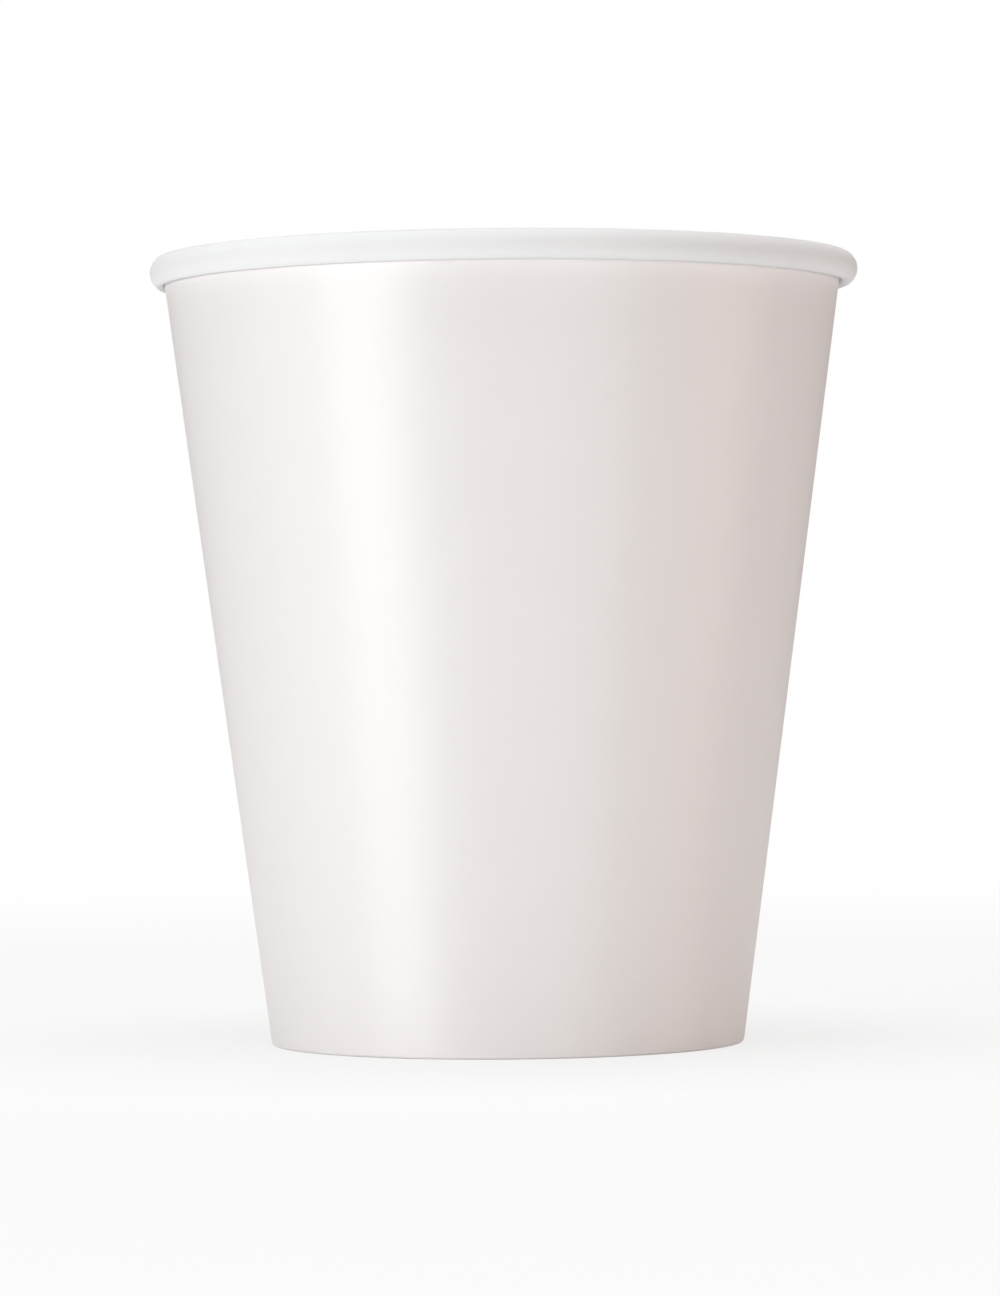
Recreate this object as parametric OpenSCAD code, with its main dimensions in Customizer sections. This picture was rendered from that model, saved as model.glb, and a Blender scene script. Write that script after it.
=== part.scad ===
// Single-wall paper cup of about 266 ml: one printed board blank wrapped into a cone
// with a lapped side seam, its top edge rolled outward into a rim and its bottom edge
// folded up round the skirt of a recessed bottom disc. The seam is at the back (+Y).

/* [Cup] */
// Height from the table to the top of the rim
cup_height = 88; // [70:0.5:130]
// Largest diameter, over the rolled rim
rim_diameter = 79.3; // [74:0.1:90]
// Outside diameter of the wall where it meets the table
base_diameter = 52.9; // [48:0.1:60]

/* [Board] */
// Thickness of the wall board
wall_board = 0.3; // [0.24:0.01:0.36]
// Thickness of the bottom disc's board
disc_board = 0.28; // [0.2:0.01:0.36]

/* [Rolled rim] */
// Height of the rolled rim
rim_height = 3.25; // [2.8:0.05:4]
// How far the rolled rim stands out past the wall
rim_reach = 1.9; // [1.7:0.05:2.6]
// How far round, up and down from level, the rim's broad outer side goes
rim_side_angle = 50; // [40:1:60]
// Space left between the layers of the roll
rim_gap = 0.05; // [0.02:0.01:0.1]
// Last turn of the roll's hidden edge, under the top of the rim
rim_tuck_angle = 80; // [0:5:120]

/* [Side seam] */
// Width of the overlap of the two glued edges
seam_lap = 7; // [5:0.5:10]
// Length over which the outer layer climbs onto the inner one
seam_climb = 3.6; // [2.5:0.1:6]
// Step that is left at a cut edge after the seam is pressed
seam_step = 0.24; // [0.1:0.01:0.28]
// Width of the fine line that the inner cut edge leaves over the rim
seam_line = 0.16; // [0.1:0.01:0.3]
// Depth of that line
seam_line_depth = 0.12; // [0.05:0.01:0.16]

/* [Bottom] */
// Depth of the recess under the bottom disc
recess_depth = 6.6; // [6.2:0.1:10]
// Height of the hem, the wall's edge folded up inside the base
hem_height = 5.2; // [3.5:0.1:5.4]
// Width of the flat ring on which the folded edge stands
foot_flat = 0.16; // [0.1:0.01:0.24]
// Clearance of the disc's skirt to the wall and to the hem
seal_gap = 0.02; // [0.01:0.01:0.05]
// Room between the skirt's cut edge and the fold below it
skirt_room = 0.5; // [0.3:0.1:1.5]
// Inside radius of the bend between disc and skirt
disc_bend = 0.4; // [0.2:0.05:0.8]

/* [Knurling] */
// Number of grooves that a knurled roller leaves round the hem
knurls = 72; // [48:2:96]
// Depth of a groove
knurl_depth = 0.07; // [0.04:0.01:0.12]
// Width of a groove
knurl_width = 0.8; // [0.5:0.1:1.2]
// Plain height of the hem below and above the grooves
knurl_margin = 0.7; // [0.4:0.1:1.2]

/* [Hidden] */

rim_radius = rim_diameter / 2;
base_radius = base_diameter / 2;
seam_at = 90;

// The wall is a cone from the table to the underside of the rolled rim.
wall_top = cup_height - rim_height;
lean = atan((rim_radius - rim_reach - base_radius) / wall_top);
out = [cos(lean), -sin(lean)];
up = [sin(lean), cos(lean)];

// Steps of the bends, in degrees, and of the whole turn about the cup's axis.
bend_step = 9;
$fn = 180;

// The section of a folded board is a list of stations [point, side]. The point is on
// the food side, and side is the unit vector towards the printed side.
function polar(angle) = [cos(angle), sin(angle)];
function turn(from, to) = let(n = max(2, ceil(abs(to - from) / bend_step)))
    [for (i = [0:n]) from + (to - from) * i / n];
function bend_out(centre, radius, from, to) =
    [for (a = turn(from, to)) [centre + radius * polar(a), polar(a)]];
function bend_in(centre, radius, from, to) =
    [for (a = turn(from, to)) [centre + radius * polar(a), -polar(a)]];
function depth_line(stations, depth) = [for (s = stations) s[0] + depth * s[1]];
function reversed(list) = [for (i = [len(list) - 1:-1:0]) list[i]];
function board(stations, near, far) =
    concat(depth_line(stations, near), reversed(depth_line(stations, far)));

// Point on the wall's outer face at a height.
function wall_face(z) = [base_radius + z * tan(lean), z];

// The fold at the table leaves room for the skirt between wall and hem. Its two bends
// meet the table along a narrow flat ring.
fold_room = disc_board + 2 * seal_gap;
fold_radius = (fold_room - foot_flat * cos(lean)) / 2;
fold_out = fold_radius + wall_board;
fold_x = base_radius + (sin(lean) - 1) * fold_out / cos(lean);
fold = concat(
    bend_out([fold_x - foot_flat, fold_out], fold_radius, 180 - lean, 270),
    bend_out([fold_x, fold_out], fold_radius, 270, 360 - lean)
);
hem_top = [fold[0][0] + up * hem_height, fold[0][1]];

// The rim is three bends, tangent to each other: a tight one over the top, a broad
// outer side and a tight one underneath that comes back to the wall. Their radii follow
// from the rim's height, its diameter and the wall.
side_rise = 1 - sin(rim_side_angle);
side_reach = 1 - cos(rim_side_angle);
side_share = side_rise / (2 * sin(rim_side_angle));
side_full = rim_height / (2 * sin(rim_side_angle));
shared = side_reach * side_share;
room_above = rim_radius - base_radius + wall_board / cos(lean) - cup_height * tan(lean)
    - side_reach * side_full;
room_below = (rim_radius - base_radius - side_reach * side_full) * cos(lean)
    - wall_top * sin(lean) - rim_gap;
need_above = 1 / cos(lean) - tan(lean) + cos(rim_side_angle) - shared;
need_below = 1 + sin(lean) + cos(lean) * (cos(rim_side_angle) - shared);
solved = need_above * need_below - shared * shared * cos(lean);
top_bend = (room_above * need_below + shared * room_below) / solved;
low_bend = (room_below * need_above + shared * cos(lean) * room_above) / solved;
side_bend = side_full - side_share * (top_bend + low_bend);

top_z = cup_height - top_bend;
top_centre = [base_radius + (top_bend - wall_board + sin(lean) * top_z) / cos(lean), top_z];
side_centre = top_centre + (top_bend - side_bend) * polar(rim_side_angle);
low_centre = side_centre + (side_bend - low_bend) * polar(-rim_side_angle);
tuck_bend = top_bend - wall_board - rim_gap;
tuck_turn = tuck_bend > wall_board + rim_gap / 2 ? rim_tuck_angle : 0;

curl = concat(
    bend_in(top_centre, top_bend, 180 - lean, 90),
    bend_in(top_centre, top_bend, 90, rim_side_angle),
    bend_in(side_centre, side_bend, rim_side_angle, 0),
    bend_in(side_centre, side_bend, 0, -rim_side_angle),
    bend_in(low_centre, low_bend, -rim_side_angle, -90),
    bend_in(low_centre, low_bend, -90, -180 - lean)
);
tuck = tuck_turn > 0
    ? bend_in(top_centre, tuck_bend, 180 - lean, 180 - lean - tuck_turn)
    : [[curl[len(curl) - 1][0] + up * rim_height / 3, out]];

// Places round the cup, in degrees: the outer cut edge, the inner cut edge one lap
// further on, and where the outer layer has come down to the wall again.
mid_radius = (base_radius + rim_radius) / 2;
lap_turn = seam_lap / mid_radius * 180 / PI;
climb_turn = seam_climb / mid_radius * 180 / PI;
outer_edge = seam_at - lap_turn / 2;
inner_edge = outer_edge + lap_turn;
climb_end = inner_edge + climb_turn;
// The climb is an arc about an axis that is moved sideways from the cup's own.
climb_shift = seam_step / sin(climb_turn);
climb_axis = climb_shift * polar(climb_end - acos(climb_shift / (2 * mid_radius)));

// How deep inside the wall the hidden faces of joined layers lie.
merge_depth = wall_board / 2;
// Solids that only cut go this far past what they cut.
margin = 2;

module wrap(stations, near, far, from = 0, span = 360) {
    rotate_extrude(angle = span, start = from)
        polygon(board(stations, near, far));
}

// Outer layer of the seam on the wall, from the fold to inside the rolled rim. It ends
// in a cut edge on one side and comes down to the wall on the other.
module seam_layer() {
    wall_line = [fold[len(fold) - 1], [wall_face(wall_top + low_bend) - out * wall_board, out]];
    intersection() {
        wrap(wall_line, merge_depth, wall_board + seam_step, outer_edge, climb_end - outer_edge);
        translate(climb_axis)
            rotate_extrude()
                polygon([[0, -margin], wall_face(-margin), wall_face(cup_height), [0, cup_height]]);
    }
}

// The same layer through the fold and up the hem, pressed flat on the table side.
module seam_hem() {
    intersection() {
        wrap(concat([hem_top], fold), merge_depth, wall_board + seam_step, outer_edge, lap_turn);
        cylinder(r = rim_radius, h = cup_height);
    }
}

// Upright grooves in the hem's face, pressed in to seal it onto the skirt. Where the hem
// lies double in the seam they stand further in.
module knurl_grooves() {
    knurl_radius = (knurl_width * knurl_width / 4 + knurl_depth * knurl_depth) / (2 * knurl_depth);
    for (i = [-knurls / 2:knurls / 2 - 1]) {
        from_seam = (i + 0.5) * 360 / knurls;
        face = wall_board + (abs(from_seam) < lap_turn / 2 ? seam_step : 0);
        foot = fold[0][0] + up * knurl_margin - out * (face - knurl_depth + knurl_radius);
        rotate(seam_at + from_seam)
            translate([foot[0], 0, foot[1]])
                rotate([0, lean, 0])
                    cylinder(h = hem_height - 2 * knurl_margin, r = knurl_radius, $fn = 48);
    }
}

// Food side of the seam: the inner layer's cut edge, from which the wall climbs back.
module seam_inside() {
    inside_low = wall_face(recess_depth - disc_bend) - out * wall_board;
    inside_high = curl[0][0];
    intersection() {
        translate(climb_axis)
            wrap([[inside_low, out], [inside_high, out]], -margin, 0);
        rotate_extrude(angle = climb_turn, start = inner_edge)
            square([rim_radius, cup_height]);
    }
}

// The cut edge goes on over the rim as a fine line.
module seam_rim_line() {
    wrap(curl, -margin * seam_line_depth, seam_line_depth,
        inner_edge, seam_line / rim_radius * 180 / PI);
}

module sidewall() {
    color("white")
    difference() {
        union() {
            wrap(concat([hem_top], fold, curl, tuck), 0, wall_board);
            seam_layer();
            seam_hem();
        }
        seam_inside();
        seam_rim_line();
        knurl_grooves();
    }
}

// The disc lies flat, bends down at its edge and ends in a skirt between wall and hem.
module bottom_disc() {
    disc_top = recess_depth + disc_board;
    edge_bend = disc_bend + disc_board;
    edge_z = disc_top - edge_bend;
    edge_x = base_radius
        + (edge_z * sin(lean) - wall_board - seal_gap - edge_bend) / cos(lean);
    skirt_end = wall_face(fold_out + skirt_room) - out * (wall_board + seal_gap);
    color("ghostwhite")
    wrap(concat(
        [[skirt_end, -out]],
        bend_in([edge_x, edge_z], edge_bend, -lean, 90),
        [[[0, disc_top], [0, -1]]]
    ), 0, disc_board);
}

sidewall();
bottom_disc();
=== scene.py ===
"""A single-wall paper cup of about 266 ml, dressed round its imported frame."""
from math import atan, cos, hypot, pi, radians, sin, tan

import bmesh
import bpy
import numpy as np
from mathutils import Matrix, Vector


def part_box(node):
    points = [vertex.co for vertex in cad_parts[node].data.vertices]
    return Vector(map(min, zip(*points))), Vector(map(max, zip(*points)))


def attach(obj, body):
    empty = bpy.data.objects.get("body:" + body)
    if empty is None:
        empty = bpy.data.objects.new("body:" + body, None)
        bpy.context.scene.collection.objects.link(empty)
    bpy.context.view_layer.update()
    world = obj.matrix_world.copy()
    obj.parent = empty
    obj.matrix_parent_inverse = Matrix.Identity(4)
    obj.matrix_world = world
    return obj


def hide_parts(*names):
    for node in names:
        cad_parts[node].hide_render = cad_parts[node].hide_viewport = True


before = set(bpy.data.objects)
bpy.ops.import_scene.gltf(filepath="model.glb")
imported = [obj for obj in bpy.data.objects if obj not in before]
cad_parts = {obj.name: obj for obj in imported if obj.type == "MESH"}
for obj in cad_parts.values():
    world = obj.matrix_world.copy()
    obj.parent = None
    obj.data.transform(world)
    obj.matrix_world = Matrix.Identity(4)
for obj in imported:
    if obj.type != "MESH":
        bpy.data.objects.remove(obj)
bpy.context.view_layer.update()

# Sidewall: one fan-shaped blank of cup board, printed white outside and lined with clear
# polyethylene inside. It is wrapped into a cone and heat-sealed along a lapped seam at
# the back, then its top edge is rolled outward and its bottom edge folded up inside.
# Lengths are in millimetres until a mesh is made.
MM = 0.001
cup_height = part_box("sidewall")[1].z / MM
rim_radius = max(hypot(*v.co.xy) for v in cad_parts["sidewall"].data.vertices) / MM
base_radius = 26.45
wall_ply = 0.3
rim_height = 3.25
rim_reach = 1.9
rim_side = radians(50)
rim_gap = 0.05
tuck_turn = radians(80)
rim_drift = 0.2
tuck_core = 0.03
tuck_share = 0.15
seam_swell = 0.8
hem_height = 5.2
foot_flat = 0.16
skirt_room = 0.32
hem_stations = 9
wall_stations = 14
wall_top = cup_height - rim_height
lean = atan((rim_radius - rim_reach - base_radius) / wall_top)
outward = np.array([cos(lean), -sin(lean)])
upward = np.array([sin(lean), cos(lean)])


def bend(centre, radius, start, stop, count, side):
    """Stations round a bend: points of the food side, and unit vectors to the print."""
    turn = np.linspace(start, stop, count)
    ray = np.stack([np.cos(turn), np.sin(turn)], 1)
    return centre + radius * ray, side * ray


def straight(start, stop, side, count):
    """Stations between two points, without the two points themselves."""
    share = np.linspace(0, 1, count + 2)[1:-1, None]
    return start + share * (stop - start), np.tile(side, (count, 1))


def food_line(z):
    """Point on the wall's food side at a height."""
    return np.array([base_radius - wall_ply / cos(lean) + z * tan(lean), z])


def fold_section(layers):
    """The hem and the fold at the table, where the board lies layers thick."""
    radius = (skirt_room - foot_flat * cos(lean)) / 2
    z = radius + layers
    rise_at = np.array([food_line(z)[0] - radius / cos(lean), z])
    down = bend(rise_at - [foot_flat, 0], radius, pi - lean, 1.5 * pi, count=7, side=1)
    rise = bend(rise_at, radius, 1.5 * pi, 2 * pi - lean, count=7, side=1)
    hem_top = down[0][0] + upward * (hem_height - layers + wall_ply)
    hem = straight(hem_top, down[0][0], -outward, hem_stations - 1)
    return [(hem_top[None], -outward[None]), hem, down, rise]


def rim_section(layers, swell):
    """The roll: three bends tangent to each other, then its hidden last turn."""
    rise, reach = 1 - sin(rim_side), 1 - cos(rim_side)
    room = rim_radius + swell - base_radius
    top, side, low = np.linalg.solve(
        [[rise, 2 * sin(rim_side), rise],
         [1 / cos(lean) - tan(lean) + cos(rim_side), reach, 0],
         [0, reach * cos(lean), 1 + sin(lean) + cos(lean) * cos(rim_side)]],
        [rim_height,
         room + wall_ply / cos(lean) - cup_height * tan(lean),
         room * cos(lean) - wall_top * sin(lean) - rim_gap - layers + wall_ply])
    top_z = cup_height - top
    top_at = np.array([food_line(top_z)[0] + top / cos(lean), top_z])
    side_at = top_at + (top - side) * np.array([cos(rim_side), sin(rim_side)])
    low_at = side_at + (side - low) * np.array([cos(rim_side), -sin(rim_side)])
    roll = [bend(top_at, top, pi - lean, pi / 2, count=8, side=-1),
            bend(top_at, top, pi / 2, rim_side, count=4, side=-1),
            bend(side_at, side, rim_side, -rim_side, count=13, side=-1),
            bend(low_at, low, -rim_side, -pi - lean, count=15, side=-1)]
    # Where the seam lies double in the roll, its last turn is wider and shorter.
    tuck = max(top - layers - rim_gap, layers + tuck_core)
    tuck_at = roll[3][0][-1] + tuck * outward
    tuck_at = tuck_at + upward * ((top_at - tuck_at) @ upward)
    left = tuck_turn * max(tuck_share, 2 - layers / wall_ply)
    roll.append(bend(tuck_at, tuck, pi - lean, pi - lean - left, count=6, side=-1))
    return roll


def smooth(x):
    x = np.clip(x, 0, 1)
    return x * x * (3 - 2 * x)


# The blank runs once round the cup and then on under its own first edge, by the lap.
# Widths along the board are turned into angles at the middle of the wall.
seam_at = pi / 2
mid_radius = (base_radius + rim_radius) / 2
lap_width = 7
climb_width = 3.6
settle_width = 2.5
slant_width = 0.12
pressed_ply = 0.265
glue = 0.004
lap_columns = 16
climb_columns = 10
round_columns = 420
once = 2 * pi
lap = lap_width / mid_radius
climb = climb_width / mid_radius
settle = settle_width / mid_radius
wrap = np.concatenate([
    np.linspace(0, lap, lap_columns + 1),
    np.linspace(lap, lap + climb, climb_columns + 1)[1:],
    np.linspace(lap + climb, once, round_columns + 1)[1:],
    np.linspace(once, once + lap, lap_columns + 1)[1:]])
raised = (pressed_ply + glue) * (1 - smooth((wrap - lap) / climb))
under = smooth((wrap - once + settle) / settle)
layers_there = wall_ply + np.maximum(raised, under * (2 * pressed_ply + glue - wall_ply))
in_seam = np.maximum(smooth((lap + settle - wrap) / settle), under)
thickness = wall_ply + (pressed_ply - wall_ply) * in_seam

# The die leaves the cut edges slanting, so each one shows from its open side.
cut_slant = slant_width / mid_radius
food_turn = seam_at - lap / 2 + wrap
print_turn = food_turn.copy()
print_turn[0] += cut_slant
food_turn[-1] -= cut_slant

# A knurled wheel presses the hem onto the skirt and leaves fine upright grooves.
knurls = 72
knurl_depth = 0.07
knurl_power = 3
knurl_fade = 1.5
hem_place = np.arange(hem_stations)
knurl_reach = smooth(hem_place / knurl_fade) * smooth(
    (hem_stations - 1 - hem_place) / knurl_fade)


def on_cup(line, angle):
    """Points of a section, turned to their place round the cup's axis."""
    return np.stack([line[:, 0] * cos(angle), line[:, 0] * sin(angle), line[:, 1]], 1)


food_rows, print_rows = [], []
for angle, print_angle, lift, layers, board in zip(
        food_turn, print_turn, raised, layers_there, thickness):
    fold = fold_section(layers)
    roll = rim_section(layers, seam_swell * (layers - wall_ply) + rim_drift * cos(angle))
    wall = straight(fold[-1][0][-1], roll[0][0][0], outward, wall_stations)
    parts = fold + [wall] + roll
    points = np.concatenate([p for p, s in parts])
    sides = np.concatenate([s for p, s in parts])
    far = np.full(len(points), lift + board)
    groove = (0.5 - 0.5 * cos(knurls * angle)) ** knurl_power
    far[:hem_stations] -= knurl_depth * groove * knurl_reach
    food_rows.append(on_cup(points + sides * lift, angle))
    print_rows.append(on_cup(points + sides * far[:, None], print_angle))


class Finish:
    """An output of a material's nodes. Arithmetic on it adds Math nodes."""

    def __init__(self, tree, socket=None):
        self.tree = tree
        self.socket = socket

    def node(self, kind, settings, inputs, output=0):
        made = self.tree.nodes.new("ShaderNode" + kind)
        for name, value in settings.items():
            setattr(made, name, value)
        for name, value in inputs.items():
            if isinstance(value, Finish):
                self.tree.links.new(value.socket, made.inputs[name])
            else:
                made.inputs[name].default_value = value
        return Finish(self.tree, made.outputs[output] if made.outputs else None)

    def math(self, operation, first, second):
        return self.node("Math", {"operation": operation}, {0: first, 1: second})

    def __add__(self, other):
        return self.math("ADD", self, other)

    def __sub__(self, other):
        return self.math("SUBTRACT", self, other)

    def __rsub__(self, other):
        return self.math("SUBTRACT", other, self)

    def __mul__(self, other):
        return self.math("MULTIPLY", self, other)

    __radd__ = __add__
    __rmul__ = __mul__


def new_finish(name):
    made = bpy.data.materials.new(name)
    made.use_nodes = True
    made.node_tree.nodes.clear()
    return made, Finish(made.node_tree)


rough_spread = 0.06


def board_finish(name, light, dark, rough, grain, specular, upright=0.0):
    """Cup board: two close shades in soft clouds, under a fine grain of fibres. Upright
    stretches the sheen along the cup, as the calendered print does."""
    made, graph = new_finish(name)
    place = graph.node("TexCoord", {}, {}, "Object")
    clouds = graph.node("TexNoise", {}, {"Vector": place, "Scale": 160.0, "Detail": 4.0})
    fibre = graph.node("TexNoise", {}, {"Vector": place, "Scale": 2600.0, "Detail": 3.0})
    colour = graph.node("Mix", {"data_type": "RGBA"}, {0: clouds, 6: light, 7: dark}, 2)
    bump = graph.node("Bump", {}, {"Height": fibre, "Strength": grain, "Distance": 0.00002})
    shader = graph.node("BsdfPrincipled", {}, {
        "Base Color": colour, "Roughness": rough + rough_spread * (fibre - 0.5), "Normal": bump,
        "Specular IOR Level": specular, "Anisotropic": upright, "Anisotropic Rotation": 0.25})
    graph.node("OutputMaterial", {}, {"Surface": shader})
    return made


print_finish = board_finish(
    "printed_white", (0.808, 0.785, 0.782, 1), (0.793, 0.771, 0.767, 1), 0.46, 0.25, 1.0, 0.75)
lined_finish = board_finish(
    "lined_white", (0.79, 0.80, 0.808, 1), (0.78, 0.79, 0.798, 1), 0.6, 0.18, 0.12)
edge_finish = board_finish(
    "cut_board", (0.83, 0.80, 0.75, 1), (0.72, 0.68, 0.61, 1), 0.85, 0.8, 0.2)


lined, outer, cut = range(3)
same_point = 1e-9
sharp_angle = radians(45)


def closed_piece(name, points, quads, slots, finishes):
    """A smooth mesh that keeps its cut edges sharp, with a finish for each slot."""
    mesh = bpy.data.meshes.new(name)
    mesh.from_pydata(points * MM, [], quads)
    mesh.polygons.foreach_set("material_index", slots)
    sewn = bmesh.new()
    sewn.from_mesh(mesh)
    bmesh.ops.remove_doubles(sewn, verts=sewn.verts, dist=same_point)
    sewn.to_mesh(mesh)
    sewn.free()
    for finish in finishes:
        mesh.materials.append(finish)
    mesh.shade_smooth()
    mesh.set_sharp_from_angle(angle=sharp_angle)
    piece = bpy.data.objects.new(name, mesh)
    bpy.context.scene.collection.objects.link(piece)
    return piece


def quad_rows(*corners):
    return np.stack([c.ravel() for c in corners], 1)


food_side, print_side = np.array(food_rows), np.array(print_rows)
at = np.arange(food_side[..., 0].size).reshape(food_side.shape[:2])
behind = at + at.size
faces = [
    (quad_rows(at[:-1, :-1], at[:-1, 1:], at[1:, 1:], at[1:, :-1]), lined),
    (quad_rows(behind[:-1, :-1], behind[1:, :-1], behind[1:, 1:], behind[:-1, 1:]), outer),
    (quad_rows(at[0, :-1], behind[0, :-1], behind[0, 1:], at[0, 1:]), cut),
    (quad_rows(at[-1, :-1], at[-1, 1:], behind[-1, 1:], behind[-1, :-1]), cut),
    (quad_rows(at[:-1, 0], at[1:, 0], behind[1:, 0], behind[:-1, 0]), cut),
    (quad_rows(at[:-1, -1], behind[:-1, -1], behind[1:, -1], at[1:, -1]), cut)]
sidewall = closed_piece(
    "cup_sidewall",
    np.concatenate([food_side.reshape(-1, 3), print_side.reshape(-1, 3)]),
    np.concatenate([q for q, slot in faces]),
    np.concatenate([np.full(len(q), slot) for q, slot in faces]),
    [lined_finish, print_finish, edge_finish])
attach(sidewall, "root")
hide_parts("sidewall")

# Bottom disc: a round blank of plain board, lined on the food side. Its edge is turned
# down into a skirt, which the wall and the hem grip between them with heat and pressure.
disc_ply = 0.28
disc_height = 6.88
disc_bend = 0.4
disc_bow = 0.12
seal_gap = 0.02
skirt_end = 0.9
disc_columns = 240
edge_bend = disc_bend + disc_ply
edge_z = disc_height - edge_bend
edge_at = np.array([food_line(edge_z)[0] - (seal_gap + edge_bend) / cos(lean), edge_z])
skirt_low = food_line(skirt_end) - outward * seal_gap
round_edge = bend(edge_at, edge_bend, -lean, pi / 2, count=9, side=-1)
centre = np.array([0, disc_height])
disc_parts = [
    (skirt_low[None], -outward[None]),
    straight(skirt_low, round_edge[0][0], -outward, count=3),
    round_edge,
    straight(round_edge[0][-1], centre, np.array([0, -1]), count=24),
    (centre[None], np.array([[0, -1]]))]
disc_food = np.concatenate([p for p, s in disc_parts])
disc_under = disc_food + disc_ply * np.concatenate([s for p, s in disc_parts])
outline = np.concatenate([disc_food, disc_under[::-1]])
bow = disc_bow * smooth(1 - outline[:, 0] / edge_at[0])
disc_turn = np.linspace(0, once, disc_columns, endpoint=False)
ring = np.array([on_cup(outline + np.stack([0 * bow, bow], 1), a) for a in disc_turn])
columns, rows = ring.shape[:2]
at = np.arange(columns * rows).reshape(columns, rows)
beside, below = np.roll(at, -1, axis=0), np.roll(at, -1, axis=1)
disc_quads = quad_rows(at, beside, np.roll(beside, -1, axis=1), below)
row_slot = np.repeat([lined, outer, cut], [len(disc_food), len(disc_food) - 1, 1])
under_finish = board_finish(
    "plain_board", (0.86, 0.845, 0.82, 1), (0.82, 0.80, 0.77, 1), 0.7, 0.6, 0.3)
bottom_disc = closed_piece(
    "cup_bottom_disc", ring.reshape(-1, 3), disc_quads,
    np.tile(row_slot, columns), [lined_finish, under_finish, edge_finish])
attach(bottom_disc, "root")
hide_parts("bottom_disc")

# Table: a plain white surface that runs on behind the cup. It keeps the cup's shadow
# near by, and further off it looks as white as the backdrop.
table_size = 8
table_gap = 0.00002
bpy.ops.mesh.primitive_plane_add(size=table_size)
table = bpy.context.object
table.name = "table"
table.location.z = -table_gap
white, graph = new_finish("white_table")
seen = graph.node("LightPath", {}, {}, "Is Camera Ray")
place = graph.node("TexCoord", {}, {}, "Object")
away = graph.node("VectorMath", {"operation": "LENGTH"}, {0: place}, "Value")
spread = graph.node("MapRange", {"interpolation_type": "SMOOTHSTEP"}, {
    "Value": away, "From Min": 0.06, "From Max": 0.45, "To Min": 0.72, "To Max": 1.0})
lit = graph.node("BsdfDiffuse", {}, {"Color": (0.93, 0.93, 0.93, 1)})
plain = graph.node("Emission", {}, {"Color": (1, 1, 1, 1)})
graph.node("OutputMaterial", {}, {
    "Surface": graph.node("MixShader", {}, {0: seen * spread, 1: lit, 2: plain})})
table.data.materials.append(white)

# Light: a soft box low at the left that leaves a satin sheen, weak fills at the far left
# and the right front, a warm reflector at the right and a large soft box overhead. The
# room round them is dim and warm, and the backdrop behind the cup is white.
world = bpy.data.worlds.new("room")
bpy.context.scene.world = world
world.use_nodes = True
world.node_tree.nodes.clear()
graph = Finish(world.node_tree)
seen = graph.node("LightPath", {}, {}, "Is Camera Ray")
room = graph.node("Background", {}, {"Color": (1, 0.91, 0.84, 1), "Strength": 0.18})
backdrop = graph.node("Background", {}, {"Color": (1, 1, 1, 1), "Strength": 1.0})
graph.node("OutputWorld", {}, {
    "Surface": graph.node("MixShader", {}, {0: seen, 1: room, 2: backdrop})})
lamp_distance = 0.8
aim_height = 0.045


def soft_box(name, azimuth, rise, width, tall, watts, colour):
    """A rectangular lamp that faces the cup. Azimuth 0 is the camera's side."""
    lamp = bpy.data.lights.new(name, "AREA")
    lamp.shape = "RECTANGLE"
    lamp.size, lamp.size_y = width, tall
    lamp.energy = watts
    lamp.color = colour
    holder = bpy.data.objects.new(name, lamp)
    turn, lift = radians(azimuth), radians(rise)
    holder.location = (
        sin(turn) * cos(lift) * lamp_distance, -cos(turn) * cos(lift) * lamp_distance,
        aim_height + sin(lift) * lamp_distance)
    holder.rotation_euler = (pi / 2 - lift, 0, turn)
    bpy.context.scene.collection.objects.link(holder)


soft_box("left_soft_box", -47, 3, 0.42, 0.16, 2.98, (1, 1, 1))
soft_box("left_back_fill", -80, 5, 0.42, 0.2, 0.48, (1, 1, 1))
soft_box("front_fill", 25, 3, 0.6, 0.16, 0.97, (0.98, 1, 1))
soft_box("warm_reflector", 78, 5, 0.5, 0.2, 1.1, (1, 0.72, 0.64))
soft_box("overhead", 0, 90, 0.6, 0.6, 5.2, (0.97, 0.99, 1))

# Camera: a long lens, level with the middle of the cup.
pixels_wide = 1000
pixels_high = 1296
sensor = 36
focal_pixels = 5033
camera_distance = 0.5653
camera_height = 0.04146
camera_roll = 0.0082
axis_x = 505.1
axis_y = 672.5
lens = bpy.data.cameras.new("camera")
lens.lens = sensor * focal_pixels / pixels_high
lens.sensor_width = sensor
lens.shift_x = (pixels_wide / 2 - axis_x) / pixels_high
lens.shift_y = (axis_y - pixels_high / 2) / pixels_high
camera = bpy.data.objects.new("camera", lens)
camera.location = (0, -camera_distance, camera_height)
camera.rotation_euler = (pi / 2, camera_roll, 0)
bpy.context.scene.collection.objects.link(camera)
bpy.context.scene.camera = camera
bpy.context.scene.view_settings.view_transform = "Standard"
